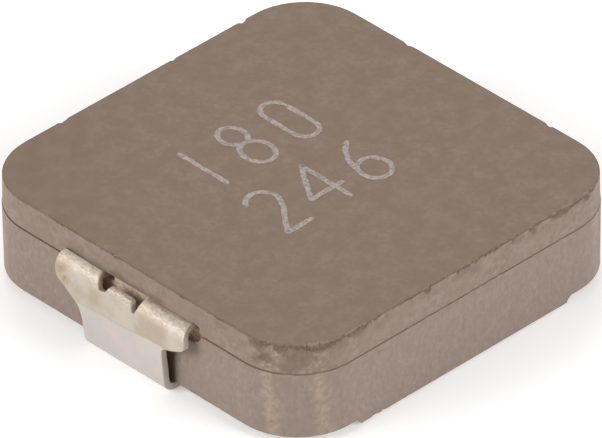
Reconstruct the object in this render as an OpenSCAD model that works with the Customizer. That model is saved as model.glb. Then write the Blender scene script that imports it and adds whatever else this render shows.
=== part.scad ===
// Moulded power inductor for surface mounting. Metal powder is pressed into one
// square block around a flat-wire coil, and two folded sheet terminals carry the
// coil's ends out at the parting plane, down the walls and under the block.
// Millimetres, +Z up, origin on the board plane under the middle of the part.
// The terminals stand at +X and -X, each the other turned half round.

/* [Block] */
// Side of the square block
block_side = 12.6; // [11.6:0.1:14]
// Height of the block below its parting plane
lower_h = 2.27; // [2.1:0.01:2.8]
// Height of the block above its parting plane
upper_h = 0.93; // [0.8:0.01:1.6]
// Radius of the block's upright corners
corner_r = 2; // [1:0.1:2.6]
// Lean of each half's wall towards its punch face, as a distance
draft = 0.015; // [0.005:0.005:0.05]
// How far the upper half stands in from the lower half
mould_step = 0.015; // [0.005:0.005:0.04]
// Width of the groove along the parting plane
groove_w = 0.06; // [0.02:0.01:0.12]
// Depth of the groove along the parting plane
groove_d = 0.04; // [0.02:0.01:0.1]
// Width of the worn bevel round the top and bottom edges
edge_bevel = 0.05; // [0.02:0.01:0.15]

/* [Underside] */
// Length of the standing pad under the middle of the block
pad_len = 7.7; // [6.5:0.1:8.2]
// Run of the slope at each end of the pad
pad_slope = 0.21; // [0.05:0.01:0.3]
// How far the terminals' feet stand below the pad
foot_proud = 0.03; // [0.01:0.01:0.1]
// Air between a foot and the recess above it
foot_clear = 0.025; // [0.01:0.005:0.1]

/* [Terminals] */
// Thickness of the tinned copper sheet
sheet_t = 0.22; // [0.15:0.01:0.25]
// Width over a terminal's two wings
wing_w = 4.8; // [4.2:0.1:5.6]
// Width of the tab and of the foot
tab_w = 3.1; // [2.6:0.1:3.8]
// Drop from the sheet's top to the lower corner of a wing
wing_drop = 0.63; // [0.5:0.01:0.8]
// Drop from the sheet's top to where the wing's taper ends
taper_drop = 1.13; // [0.95:0.01:1.4]
// Radius of the wing's lower corner
wing_corner_r = 0.12; // [0.05:0.01:0.2]
// Drop from the sheet's top to the crease above the tab
crease_drop = 0.93; // [0.8:0.01:1.1]
// Air between the block's wall and the sheet at the crease
stand_gap = 0.26; // [0.22:0.01:0.4]
// Outward lean of the sheet above the crease, in degrees
upper_lean = 4; // [1:1:8]
// Inward lean of the tab below the crease, in degrees
tab_lean = 5; // [1:1:7]
// Inside radius of the bend at the top
top_bend_r = 0.19; // [0.12:0.01:0.24]
// Inside radius of the bend at the foot
foot_bend_r = 0.22; // [0.12:0.01:0.3]
// Length of the foot, from the terminal's outermost face
foot_len = 2.3; // [1.6:0.1:2.5]
// Length of the sheet that is held inside the block
hold_len = 1.25; // [1.1:0.05:1.5]
// How far the window between the legs reaches into the block
window_in = 0.45; // [0.3:0.05:0.6]
// Width of the window between the legs
window_w = 1.6; // [1.3:0.02:2]
// Width of the sheared tongue in the window
tongue_w = 0.94; // [0.6:0.02:1]
// Drop from the sheet's top to the top of the tongue
tongue_drop = 0.02; // [0.01:0.01:0.15]
// Drop from the sheet's top to the bottoms of the tongue's slots
slot_drop = 0.3; // [0.25:0.01:0.45]
// Clearance of the block round the sheet that it holds
hold_clear = 0.02; // [0.01:0.005:0.04]

/* [Relief in the wall] */
// Depth of the relief behind each bend
relief_d = 0.12; // [0.05:0.01:0.2]
// Height of the relief below the parting plane
relief_h = 0.33; // [0.2:0.01:0.5]
// Radius of the round pocket at each end of a relief
pocket_r = 0.28; // [0.2:0.01:0.4]
// Depth of the round pocket
pocket_d = 0.2; // [0.1:0.01:0.3]

/* [Coil] */
// Bore of the coil
bore_d = 4.4; // [3.6:0.1:4.8]
// Thickness of the flat wire
wire_t = 0.2; // [0.12:0.01:0.22]
// Width of the flat wire, which stands upright
wire_w = 0.75; // [0.5:0.05:0.85]
// Enamel and air between neighbouring turns
turn_gap = 0.05; // [0.03:0.01:0.06]
// Enamel and air between the two tiers
tier_gap = 0.06; // [0.03:0.01:0.1]
// Whole turns in both tiers together
whole_turns = 13; // [9:2:13]
// Clearance of the block round the coil
coil_clear = 0.04; // [0.02:0.01:0.08]

/* [Hidden] */
$fn = 48;
arc_deg = 7.5;                              // turn of each straight piece in a bend
past = 1;                                   // how far a cut runs past a face
wall_x = block_side / 2;
pad_z = foot_proud;                         // underside of the standing pad
part_z = pad_z + lower_h;                   // parting plane, the sheet lies on it
top_z = part_z + upper_h;
sheet_top = part_z + sheet_t;
recess_z = sheet_t + foot_clear;            // ceiling of the recess over a foot

// Terminal: the crease is the sheet's inner corner between its two flat stretches
crease_x = wall_x + stand_gap;
crease_z = sheet_top - crease_drop;
outer_x = crease_x + sheet_t;
rise_len = (part_z - top_bend_r + top_bend_r * sin(upper_lean) - crease_z) / cos(upper_lean);
top_bend_x = crease_x - rise_len * sin(upper_lean) - top_bend_r * cos(upper_lean);
top_bend_z = part_z - top_bend_r;
tab_len = (crease_z + foot_bend_r * sin(tab_lean) - sheet_t - foot_bend_r) / cos(tab_lean);
foot_bend_x = crease_x - tab_len * sin(tab_lean) - foot_bend_r * cos(tab_lean);
foot_bend_z = sheet_t + foot_bend_r;
hold_x = wall_x - hold_len;                 // inner end of the sheet
window_x = wall_x - window_in;              // inner edge of the window
slot_r = (window_w - tongue_w) / 4;         // half the width of a slot beside the tongue
slot_z = sheet_top - slot_drop + slot_r;
tongue_len = (crease_drop - tongue_drop) / cos(upper_lean);

// Coil: two flat spirals, wound outward from a crossover at the bore
segments = 24;                              // straight pieces in a turn
step_deg = 360 / segments;
crossover_deg = 20;                         // half the arc in which the wire changes tier
mid_z = (pad_z + top_z) / 2;
tier_dz = (wire_w + tier_gap) / 2;          // from the coil's middle to a tier's middle
inner_r = bore_d / 2 + wire_t / 2;
lane = wire_t + turn_gap;
outer_r = inner_r + lane * (whole_turns / 2 + 0.25);
weld_x = (hold_x + window_x) / 2;           // where a tail ends, under the held sheet
weld_y = 1.4;
weld_z = part_z - wire_w / 2;
leave_deg = atan2(weld_y, weld_x) - acos(outer_r / norm([weld_x, weld_y]));
half_sweep = 180 * whole_turns + 90 + leave_deg;
tail_len = sqrt(weld_x * weld_x + weld_y * weld_y - outer_r * outer_r);
tail_rise = sqrt(pow(outer_r + lane, 2) - outer_r * outer_r);
tail_flat = (hold_x - wire_t - outer_r * cos(leave_deg)) / -sin(leave_deg);

// ---- block ----

// Half of the block's section, from the bottom up, with its wall at x = reach
function wall_line(reach) = [
    [reach - draft - edge_bevel, pad_z],
    [reach - draft, pad_z + edge_bevel],
    [reach, part_z - groove_w / 2],
    [reach - groove_d, part_z],
    [reach - mould_step, part_z + groove_w / 2],
    [reach - mould_step - draft, top_z - edge_bevel],
    [reach - mould_step - draft - edge_bevel, top_z]
];

function mirrored(points) = [for (i = [len(points) - 1:-1:0]) [-points[i][0], points[i][1]]];

// One of the two crossing bars that fill the square between its round corners
module block_bar() {
    rotate([90, 0, 0])
        linear_extrude(block_side - 2 * corner_r, center = true)
            polygon(concat(wall_line(wall_x), mirrored(wall_line(wall_x))));
}

module block_corner() {
    translate([wall_x - corner_r, wall_x - corner_r, 0])
        rotate_extrude(angle = 90)
            polygon(concat([[0, pad_z]], wall_line(corner_r), [[0, top_z]]));
}

module plain_block() {
    block_bar();
    rotate([0, 0, 90]) block_bar();
    for (quarter = [0:3]) rotate([0, 0, 90 * quarter]) block_corner();
}

// The raised zone over a foot, from the pad's sloped end out past the wall
module foot_recess() {
    rotate([90, 0, 0])
        linear_extrude(block_side + 2 * past, center = true)
            polygon([
                [pad_len / 2, -past],
                [pad_len / 2, pad_z],
                [pad_len / 2 + pad_slope, recess_z],
                [wall_x + past, recess_z],
                [wall_x + past, -past]
            ]);
}

// Room for the held sheet, the shallow relief behind its bend, and the round
// pocket that the mould leaves at each end of the relief
module terminal_seat() {
    seat_w = wing_w + 2 * hold_clear;
    seat_z = part_z - hold_clear;
    seat_h = sheet_t + 2 * hold_clear;
    leg_w = (wing_w - window_w) / 2 + 2 * hold_clear;
    translate([hold_x - hold_clear, -seat_w / 2, seat_z])
        cube([window_x - hold_x + 2 * hold_clear, seat_w, seat_h]);
    for (side = [-1, 1])
        translate([window_x, side * (wing_w + window_w) / 4 - leg_w / 2, seat_z])
            cube([window_in + past, leg_w, seat_h]);
    translate([wall_x - relief_d, -seat_w / 2, part_z - relief_h])
        cube([relief_d + past, seat_w, relief_h + sheet_t + hold_clear]);
    for (side = [-1, 1])
        translate([wall_x - pocket_d, side * wing_w / 2, part_z])
            rotate([0, 90, 0]) cylinder(pocket_d + past, r = pocket_r);
}

// The ring-shaped room that the coil fills
module coil_room() {
    room_h = 2 * tier_dz + wire_w + 2 * coil_clear;
    post_r = bore_d / 2 * cos(step_deg / 2) - coil_clear;
    translate([0, 0, mid_z - room_h / 2])
        rotate_extrude()
            translate([post_r, 0])
                square([outer_r + wire_t / 2 + coil_clear - post_r, room_h]);
}

// The way of one tail, from its tier at height from_z out to the weld
module tail_room(from_z) {
    half_h = wire_w / 2 + coil_clear;
    tail_end = tail_len + coil_clear;
    translate([outer_r * cos(leave_deg), outer_r * sin(leave_deg), 0])
        rotate([90, 0, leave_deg + 90])
            linear_extrude(wire_t + 2 * coil_clear, center = true)
                polygon([
                    [0, from_z - half_h], [tail_rise, from_z - half_h],
                    [tail_flat, weld_z - half_h], [tail_end, weld_z - half_h],
                    [tail_end, weld_z + half_h], [tail_flat, weld_z + half_h],
                    [tail_rise, from_z + half_h], [0, from_z + half_h]
                ]);
}

module pressed_core() {
    color([0.56, 0.50, 0.45])
        difference() {
            plain_block();
            for (half_turn = [0, 180])
                rotate([0, 0, half_turn]) {
                    foot_recess();
                    terminal_seat();
                }
            coil_room();
            tail_room(mid_z + tier_dz);
            mirror([1, 0, 0]) tail_room(mid_z - tier_dz);
        }
}

// ---- coil ----

function spiral_r(turned) = inner_r + (outer_r - inner_r) * abs(turned) / half_sweep;

// Height along the wire: lower tier, crossover at the bore, upper tier
function spiral_z(turned) = mid_z + tier_dz * max(-1, min(1, turned / crossover_deg));

function spiral_point(turned) =
    let (at = turned + leave_deg - half_sweep)
    [spiral_r(turned) * cos(at), spiral_r(turned) * sin(at), spiral_z(turned)];

function tail_point(along, z) = [
    outer_r * cos(leave_deg) - along * sin(leave_deg),
    outer_r * sin(leave_deg) + along * cos(leave_deg),
    z
];

function flipped(point) = [-point[0], point[1], point[2]];

low_z = mid_z - tier_dz;
high_z = mid_z + tier_dz;
steps = floor(half_sweep / step_deg);
turned_steps = concat(
    [-half_sweep],
    [for (i = [-steps:-2]) i * step_deg],
    [-crossover_deg, 0, crossover_deg],
    [for (i = [2:steps]) i * step_deg],
    [half_sweep]
);
wire_path = concat(
    [flipped(tail_point(tail_len, weld_z)), flipped(tail_point(tail_flat, weld_z)),
        flipped(tail_point(tail_rise, low_z))],
    [for (turned = turned_steps) spiral_point(turned)],
    [tail_point(tail_rise, high_z), tail_point(tail_flat, weld_z), tail_point(tail_len, weld_z)]
);

function level_unit(v) = [v[0], v[1]] / norm([v[0], v[1]]);

// The four corners of the wire's section at one point of its path
function wire_section(i) =
    let (
        ahead = level_unit(wire_path[min(i + 1, len(wire_path) - 1)] - wire_path[min(i, len(wire_path) - 2)]),
        behind = level_unit(wire_path[max(i, 1)] - wire_path[max(i - 1, 0)]),
        way = level_unit(ahead + behind),
        side = [way[1], -way[0], 0] * wire_t / 2 / (way * ahead),
        rise = [0, 0, wire_w / 2]
    )
    [for (corner = [side - rise, side + rise, -side + rise, -side - rise]) wire_path[i] + corner];

module winding() {
    count = len(wire_path);
    points = [for (i = [0:count - 1]) each wire_section(i)];
    walls = [
        for (i = [0:count - 2], k = [0:3])
            let (a = 4 * i + k, b = 4 * i + (k + 1) % 4)
            each [[a, b, b + 4], [a, b + 4, a + 4]]
    ];
    last = 4 * (count - 1);
    ends = [[0, 3, 2], [0, 2, 1], [last, last + 1, last + 2], [last, last + 2, last + 3]];
    color([0.72, 0.38, 0.20]) polyhedron(points, concat(walls, ends));
}

// ---- terminals ----

// Points along an arc about a centre
function arc(centre, r, from_deg, to_deg) =
    let (pieces = max(2, ceil(abs(to_deg - from_deg) / arc_deg)))
    [
        for (i = [0:pieces])
            let (at = from_deg + (to_deg - from_deg) * i / pieces)
            centre + r * [cos(at), sin(at)]
    ];

// One face of the folded sheet in X and Z, from its held end down to its foot;
// out is how far that face lies outside the sheet's inner face
function sheet_face(out) = concat(
    [[hold_x, part_z + out]],
    arc([top_bend_x, top_bend_z], top_bend_r + out, 90, upper_lean),
    out > 0 ? arc([crease_x, crease_z], out, upper_lean, -tab_lean) : [[crease_x, crease_z]],
    arc([foot_bend_x, foot_bend_z], foot_bend_r + out, -tab_lean, -90),
    [[outer_x - foot_len, sheet_t - out]]
);

function reversed(points) = [for (i = [len(points) - 1:-1:0]) points[i]];

// The folded sheet seen from its edge
module folded_section() {
    polygon(concat(sheet_face(0), reversed(sheet_face(sheet_t))));
}

function unit(v) = v / norm(v);

// The corner at b, between a and c, rounded to radius r
function rounded(a, b, c, r) =
    let (
        u = unit(a - b),
        v = unit(c - b),
        half_deg = acos(u * v) / 2,
        centre = b + unit(u + v) * r / sin(half_deg),
        start = b + u * r / tan(half_deg) - centre,
        end = b + v * r / tan(half_deg) - centre
    )
    arc(centre, r, atan2(start[1], start[0]), atan2(end[1], end[0]));

// The terminal seen from outside, in Y and Z: wings above, tapered to the tab
module front_outline() {
    wing_top = [wing_w / 2, sheet_top + past];
    wing_low = [wing_w / 2, sheet_top - wing_drop];
    tab_high = [tab_w / 2, sheet_top - taper_drop];
    tab_low = [tab_w / 2, -past];
    half = concat([wing_top], rounded(wing_top, wing_low, tab_high, wing_corner_r), [tab_high, tab_low]);
    polygon(concat(half, mirrored(half)));
}

// A plate of the given height, wide across Y, with its section drawn in X and Z
module across(width) {
    rotate([90, 0, 0]) linear_extrude(width, center = true) children();
}

// All of the sheet between the window's inner edge and one angle of the top bend
module bend_past(from_deg) {
    far_x = top_bend_x + past;
    polygon([
        [window_x, top_bend_z],
        [top_bend_x, top_bend_z],
        [far_x, top_bend_z + past * tan(from_deg)],
        [far_x, sheet_top + past],
        [window_x, sheet_top + past]
    ]);
}

// A slot beside the tongue, seen from outside: straight sides and a round bottom
module slot_outline() {
    polygon(concat([[slot_r, slot_z + past], [-slot_r, slot_z + past]], arc([0, slot_z], slot_r, 180, 360)));
}

// The window between the two legs, and the slots that free the tongue
module window_cut() {
    slot_deg = asin((slot_z - top_bend_z) / (top_bend_r + sheet_t));
    across(window_w) bend_past(slot_deg);
    across(tongue_w) bend_past(upper_lean);
    for (side = [-1, 1])
        translate([top_bend_x, side * (tongue_w / 2 + slot_r), 0])
            rotate([90, 0, 90]) linear_extrude(past) slot_outline();
}

// One terminal at +X: folded, cut to its outline, windowed, and given its tongue
module terminal() {
    difference() {
        intersection() {
            across(wing_w) folded_section();
            rotate([90, 0, 90]) linear_extrude(wall_x + past) front_outline();
        }
        window_cut();
    }
    across(tongue_w)
        translate([crease_x, crease_z])
            rotate(upper_lean) square([sheet_t, tongue_len]);
}

module terminal_left() {
    color([0.82, 0.79, 0.74]) rotate([0, 0, 180]) terminal();
}

module terminal_right() {
    color([0.82, 0.79, 0.74]) terminal();
}

pressed_core();
winding();
terminal_left();
terminal_right();
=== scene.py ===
import math

import bmesh
import bpy
import numpy as np
from mathutils import Matrix, Vector, noise


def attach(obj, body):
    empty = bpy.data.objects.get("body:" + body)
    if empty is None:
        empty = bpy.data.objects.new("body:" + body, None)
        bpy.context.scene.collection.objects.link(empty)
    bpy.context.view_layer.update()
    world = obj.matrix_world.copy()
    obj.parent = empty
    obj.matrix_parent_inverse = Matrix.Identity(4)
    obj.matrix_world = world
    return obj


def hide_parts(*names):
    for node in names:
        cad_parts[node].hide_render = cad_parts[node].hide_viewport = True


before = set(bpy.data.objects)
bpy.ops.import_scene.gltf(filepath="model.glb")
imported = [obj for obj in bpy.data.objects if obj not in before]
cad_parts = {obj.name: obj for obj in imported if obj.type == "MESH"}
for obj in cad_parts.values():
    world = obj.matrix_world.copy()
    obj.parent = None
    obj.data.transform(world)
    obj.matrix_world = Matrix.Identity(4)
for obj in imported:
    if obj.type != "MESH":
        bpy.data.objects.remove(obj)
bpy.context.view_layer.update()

mm = 0.001  # shapes are worked out in millimetres and scaled once, at the end


def screen(red, green, blue):
    # a colour as a screen shows it, 0 to 255, turned into what a shader takes
    parts = [c / 255 for c in (red, green, blue)]
    return (*[c / 12.92 if c <= 0.04045 else ((c + 0.055) / 1.055) ** 2.4 for c in parts], 1.0)


def grain(x, y, z, scale, seed=0.0):
    # smooth noise from -1 to 1 whose lumps are about 1/scale millimetres across
    return noise.noise(Vector((x * scale + seed, y * scale - 2 * seed, z * scale + 3 * seed)))


def ease(value, low, high):
    t = np.clip((value - low) / (high - low), 0, 1)
    return t * t * (3 - 2 * t)


def meshPiece(name, points, faces, size=mm):
    mesh = bpy.data.meshes.new(name)
    mesh.from_pydata([tuple(p) for p in points], [], faces)
    if size != 1:
        mesh.transform(Matrix.Scale(size, 4))
    mesh.validate()
    piece = bpy.data.objects.new(name, mesh)
    bpy.context.scene.collection.objects.link(piece)
    return piece


def facesOutward(piece):
    form = bmesh.new()
    form.from_mesh(piece.data)
    bmesh.ops.recalc_face_normals(form, faces=form.faces)
    form.to_mesh(piece.data)
    form.free()


def smoothWithCreases(piece, degrees):
    # smooth faces, with hard edges left where the surface turns sharply
    form = bmesh.new()
    form.from_mesh(piece.data)
    for face in form.faces:
        face.smooth = True
    for edge in form.edges:
        edge.smooth = edge.calc_face_angle(0) < math.radians(degrees)
    form.to_mesh(piece.data)
    form.free()


# the pressed block, in millimetres
block = {
    "wall": 6.3,          # from the middle to a wall
    "corner": 2.0,        # radius of the upright corners
    "bottom": 0.03,
    "parting": 2.30,
    "top": 3.23,
    "columns": 840,       # upright rows of points around the wall
    "shrink": 0.006,      # the pressed skin lies this far inside the drawn block
    "draft": 0.015,
    "step": 0.015,        # the upper half's wall stands back by this much
    "streak": 0.006,      # depth of the drag marks that the die leaves
    "groove": 0.05,       # depth of the parting groove, and half its height
    "grooveHalf": 0.028,
    "topWear": (4.0, 0.11, 0.016),      # seed, depth of the ragged wear, and the least wear
    "bottomWear": (31.0, 0.05, 0.014),
    "rimZone": 1.2,       # rows of the flat faces run along the wall up to here
}

# bites out of the edges: side of the block, place along it, half width, depth
topBites = [
    ("front", -3.72, 0.16, 0.10), ("front", -4.15, 0.40, 0.075), ("front", -1.41, 0.14, 0.085),
    ("front", -1.85, 0.30, 0.04), ("front", 0.05, 0.32, 0.055), ("front", -0.25, 0.08, 0.08),
    ("front", 0.45, 0.09, 0.07), ("front", 1.84, 0.10, 0.075), ("front", 2.55, 0.10, 0.09),
    ("front", 3.42, 0.12, 0.10), ("front", 3.85, 0.17, 0.12), ("front", 4.68, 0.14, 0.12),
    ("front", 1.15, 0.20, 0.035), ("left", 3.1, 0.10, 0.03), ("left", 0.7, 0.14, 0.03),
    ("left", -3.3, 0.12, 0.04), ("left", -1.9, 0.10, 0.03), ("right", 2.2, 0.2, 0.06),
    ("right", -3.2, 0.14, 0.08), ("right", -0.4, 0.2, 0.03), ("back", -2.9, 0.2, 0.07),
    ("back", 1.2, 0.12, 0.05), ("back", 3.8, 0.15, 0.09), ("back", -0.6, 0.3, 0.03),
]
bottomBites = [
    ("front", -3.35, 0.22, 0.05), ("front", -3.05, 0.07, 0.09), ("front", -2.4, 0.3, 0.03),
    ("front", 4.05, 0.20, 0.16), ("front", 4.45, 0.30, 0.05), ("front", 1.6, 0.2, 0.02),
    ("left", 3.7, 0.15, 0.05), ("left", -3.6, 0.25, 0.03), ("right", 2.7, 0.2, 0.06),
    ("right", -2.2, 0.2, 0.04), ("back", 0.9, 0.25, 0.06), ("back", -3.6, 0.2, 0.05),
]


# marks on the upper band at the nearest corner: turn in degrees, drop from the top, half sizes,
# strength (below zero is a pale mark)
cornerStains = [
    (-31, 0.18, 9, 0.16, 0.9), (-25, 0.50, 8, 0.20, 0.9), (-33, 0.62, 3.5, 0.14, 0.7),
    (-14, 0.16, 5, 0.16, 0.9), (2, 0.42, 14, 0.36, 0.62), (-6, 0.70, 9, 0.20, 0.6),
    (21, 0.14, 10, 0.16, 0.95), (36, 0.22, 10, 0.16, 0.5), (-22, 0.72, 7, 0.17, -0.9),
    (-18, 0.28, 4, 0.20, -0.7), (12, 0.62, 5, 0.18, -0.5),
]
# darker smears on the upper band of the front wall: place along it, drop from the top, half sizes, strength
frontStains = [
    (-3.9, 0.16, 0.35, 0.14, 0.8), (-3.2, 0.30, 0.25, 0.12, 0.4), (-1.35, 0.12, 0.14, 0.11, 0.9),
    (-0.1, 0.20, 0.45, 0.13, 0.5), (0.4, 0.30, 0.20, 0.16, 0.45), (2.6, 0.18, 0.12, 0.15, 0.8),
    (2.0, 0.14, 0.35, 0.08, 0.5), (3.6, 0.12, 0.35, 0.13, 0.8), (4.6, 0.14, 0.22, 0.12, 0.6),
    (1.3, 0.40, 0.30, 0.10, 0.25),
]
# the same for the wall of the left terminal
leftStains = [
    (0.10, 0.65, 1.25, 0.045, 0.75), (0.55, 0.58, 0.35, 0.09, 0.6), (-0.9, 0.60, 0.30, 0.09, 0.6),
    (3.5, 0.25, 0.30, 0.12, 0.25), (-3.4, 0.20, 0.30, 0.10, 0.4), (2.4, 0.45, 0.25, 0.10, 0.2),
]


def frontSpots():
    # small spots of broken powder scattered under the front edge
    dice = np.random.default_rng(11)
    return [(dice.uniform(-4.2, 4.9), dice.uniform(0.03, 0.30), dice.uniform(0.03, 0.10),
             dice.uniform(0.02, 0.07), dice.uniform(0.25, 0.65)) for _ in range(44)]


def roundSquare(count, reach, radius):
    # points and outward directions at even steps round a square with round corners
    flat = 2 * (reach - radius)
    bend = math.pi * radius / 2
    whole = 4 * (flat + bend)
    points, outward = [], []
    for i in range(count):
        run = whole * i / count
        side = int(run // (flat + bend))
        rest = run - side * (flat + bend)
        if rest < flat:
            x, y, nx, ny = rest - flat / 2, -reach, 0.0, -1.0
        else:
            turn = (rest - flat) / radius
            nx, ny = math.sin(turn), -math.cos(turn)
            x, y = flat / 2 + radius * nx, radius - reach + radius * ny
        for _ in range(side):
            x, y, nx, ny = -y, x, -ny, nx
        points.append((x, y))
        outward.append((nx, ny))
    return np.array(points), np.array(outward)


def biteDepth(points, bites, reach):
    # how far the edge is broken back at each upright row
    depth = np.zeros(len(points))
    for side, place, half, deep in bites:
        x, y = points[:, 0], points[:, 1]
        onSide, run = {"front": (y < -0.6 * reach, x), "back": (y > 0.6 * reach, x),
                       "left": (x < -0.6 * reach, y), "right": (x > 0.6 * reach, y)}[side]
        rag = np.array([0.85 + 0.5 * grain(px, py, 0, 9, place) for px, py in points])
        shape = np.clip(1 - ((run - place) / half) ** 2, 0, 1) ** 0.6 * rag * 1.5
        depth = np.maximum(depth, np.where(onSide, shape * deep, 0))
    return depth


def edgeWear(points, seed, level, least):
    # small ragged wear between the bites, rougher round the corner that stands nearest
    worn = np.zeros(len(points))
    for i, (x, y) in enumerate(points):
        rag = 0.6 * grain(x, y, seed, 2.1, seed) + 0.5 * grain(x, y, seed, 7.5, seed + 3)
        fine = 0.5 + 0.5 * grain(x, y, seed, 16, seed + 7)
        near = math.exp(-((x + 5.7) ** 2 + (y + 5.7) ** 2) / 1.5)
        more = 0.35 + 1.75 * (y < -5.5) + 0.2 * near
        worn[i] = least * fine + level * more * max(0.0, rag - 0.05 + 0.35 * near) * (0.4 + fine)
    return worn


def wholeWear(points, bites, wear):
    return np.maximum(biteDepth(points, bites, block["wall"]), edgeWear(points, *wear))


def blockSkin():
    b = block
    reach, rim = b["wall"], b["rimZone"]
    base, outward = roundSquare(b["columns"], reach, b["corner"])
    topWear = wholeWear(base, topBites, b["topWear"])
    bottomWear = wholeWear(base, bottomBites, b["bottomWear"])

    edge = [0.0, 0.018, 0.04, 0.065, 0.095, 0.135, 0.185, 0.25]
    wallZ = [b["bottom"] + e for e in edge]
    wallZ += list(np.arange(wallZ[-1] + 0.085, b["parting"] - 0.1, 0.085))
    wallZ += [b["parting"] + d for d in (-0.075, -0.048, -0.032, -0.018, 0, 0.018, 0.032, 0.048, 0.075)]
    wallZ += list(np.arange(b["parting"] + 0.14, b["top"] - 0.30, 0.075))
    wallZ += [b["top"] - e for e in reversed(edge)]
    rows, points, faces = [], [], []

    def addRow(ring):
        rows.append(list(range(len(points), len(points) + len(ring))))
        points.extend(ring)

    def wallRow(z):
        ring = []
        for i, (p, n) in enumerate(zip(base, outward)):
            upper = z > b["parting"]
            back = b["shrink"] + (b["step"] + b["draft"] * (z - b["parting"]) / 0.93 if upper
                                  else b["draft"] * (b["parting"] - z) / 2.27)
            x, y = p
            drag = 0.5 + 0.5 * noise.noise(Vector((x * 5.5, y * 5.5, z * 0.55 + 9)))
            pit = max(0.0, noise.noise(Vector((x * 4.5, y * 4.5, z * 4.5 + 40))) - 0.42)
            back += b["streak"] * drag + 0.05 * pit
            groove = abs(z - b["parting"])
            ragged = b["grooveHalf"] + 0.012 * grain(x, y, 0, 6, 12)
            if groove < ragged:
                back += b["groove"]
            gapTop, gapLow = b["top"] - z, z - b["bottom"]
            lift = 0.0
            for gap, wear, way in ((gapTop, topWear[i], -1), (gapLow, bottomWear[i], 1)):
                bite = max(0.0, wear - gap)
                back += 0.85 * bite
                lift += way * 0.45 * bite
            lift += b["shrink"] * (int(gapLow < 0.02) - int(gapTop < 0.02))
            ring.append((x - n[0] * back, y - n[1] * back, z + lift))
        return ring

    def flatRow(w, z, wear, way, step):
        # a row of the top or the underside, w in from the wall
        ring = []
        share = 1.0 if w <= rim else 1 - (w - rim) / (reach - rim)
        for i in range(0, len(base), step):
            p, n = base[i], outward[i]
            inset = min(w, rim) + b["shrink"] + (b["step"] + b["draft"] if way < 0 else b["draft"])
            x, y = (p[0] - n[0] * inset) * share, (p[1] - n[1] * inset) * share
            swell = 0.5 + 0.5 * grain(x, y, 5, 0.6, 2)
            lump = 0.5 + 0.5 * grain(x, y, 5, 4.0, 6)
            bite = max(0.0, wear[i] - w)
            sink = b["shrink"] + 0.004 * swell + 0.003 * lump + 0.85 * bite
            inward = 0.45 * bite
            ring.append((x - n[0] * inward, y - n[1] * inward, z + way * sink))
        return ring

    spread = [0.30, 0.40, 0.52, 0.68, 0.9, 1.2, 1.5, 1.85, 2.25, 2.7, 3.2, 3.75, 4.3, 4.9, 5.5, 6.0]
    steps = [1, 1, 2, 2, 2, 2, 4, 4, 4, 4, 4, 4, 4, 4, 4, 4]
    for w, step in reversed(list(zip(spread, steps))):
        addRow(flatRow(w, b["bottom"], bottomWear, 1, step))
    for w in reversed(edge[1:]):
        addRow(flatRow(w, b["bottom"], bottomWear, 1, 1))
    for z in wallZ:
        addRow(wallRow(z))
    for w in edge[1:]:
        addRow(flatRow(w, b["top"], topWear, -1, 1))
    for w, step in zip(spread, steps):
        addRow(flatRow(w, b["top"], topWear, -1, step))

    for low, high in zip(rows, rows[1:]):
        many, few = len(low), len(high)
        for i in range(min(many, few)):
            if many == few:
                j = (i + 1) % many
                faces.append((low[i], low[j], high[j], high[i]))
            elif many > few:
                faces.append((low[2 * i], low[2 * i + 1], low[(2 * i + 2) % many],
                              high[(i + 1) % few], high[i]))
            else:
                faces.append((low[i], low[(i + 1) % many], high[(2 * i + 2) % few],
                              high[2 * i + 1], high[2 * i]))
    faces.append(tuple(reversed(rows[0])))
    faces.append(tuple(rows[-1]))
    return meshPiece("pressed_block", points, faces, 1)


def cutToBlock(skin):
    # the drawn block gives the seats, the recesses under the feet and the coil's room
    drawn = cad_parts["pressed_core"].data.copy()
    form = bmesh.new()
    form.from_mesh(drawn)
    for v in form.verts:
        v.co /= mm
    bmesh.ops.remove_doubles(form, verts=form.verts, dist=1e-5)
    bmesh.ops.recalc_face_normals(form, faces=form.faces)
    form.to_mesh(drawn)
    form.free()
    cutter = bpy.data.objects.new("drawn_block", drawn)
    bpy.context.scene.collection.objects.link(cutter)
    for solver in ("MANIFOLD", "EXACT"):
        cut = skin.modifiers.new("cut", "BOOLEAN")
        cut.operation, cut.solver, cut.object = "INTERSECT", solver, cutter
        bpy.context.view_layer.update()
        made = bpy.data.meshes.new_from_object(skin.evaluated_get(bpy.context.evaluated_depsgraph_get()))
        skin.modifiers.remove(cut)
        print("stage: block cut by", solver, len(made.polygons), "faces")
        if len(made.polygons) > 20000:
            break
    bpy.data.objects.remove(cutter)
    skin.data = made
    form = bmesh.new()
    form.from_mesh(made)
    for v in form.verts:
        v.co *= mm
    form.to_mesh(made)
    form.free()


def paint(piece, **amounts):
    # stores amounts at each point, which the piece's finish reads by name
    for name, values in amounts.items():
        layer = piece.data.attributes.new(name, "FLOAT", "POINT")
        layer.data.foreach_set("value", values.astype(np.float32))


def easeGroove(piece):
    # the parting line is finer than the drawn groove, most of all on the front wall
    b = block
    centre = b["wall"] - b["corner"]
    for v in piece.data.vertices:
        x, y, z = v.co / mm
        level = z - b["parting"]
        if abs(level) > 0.036 or (abs(y) < 2.9 and abs(x) > 3):
            continue
        qx, qy = abs(x) - centre, abs(y) - centre
        out = math.hypot(max(qx, 0), max(qy, 0)) + min(max(qx, qy), 0)
        depth = b["corner"] - out
        if not 0 < depth < 0.12:
            continue
        front = float(ease(-y, 3.5, 6.0))
        keep = 0.85 - 0.40 * front
        push = depth - (0.010 + (depth - 0.010) * keep)
        away = Vector((math.copysign(max(qx, 0), x), math.copysign(max(qy, 0), y), 0))
        if away.length < 1e-6:
            continue
        v.co += away.normalized() * max(0.0, push) * mm
        v.co.z = (b["parting"] + level * (0.9 - 0.25 * front)) * mm


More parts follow.
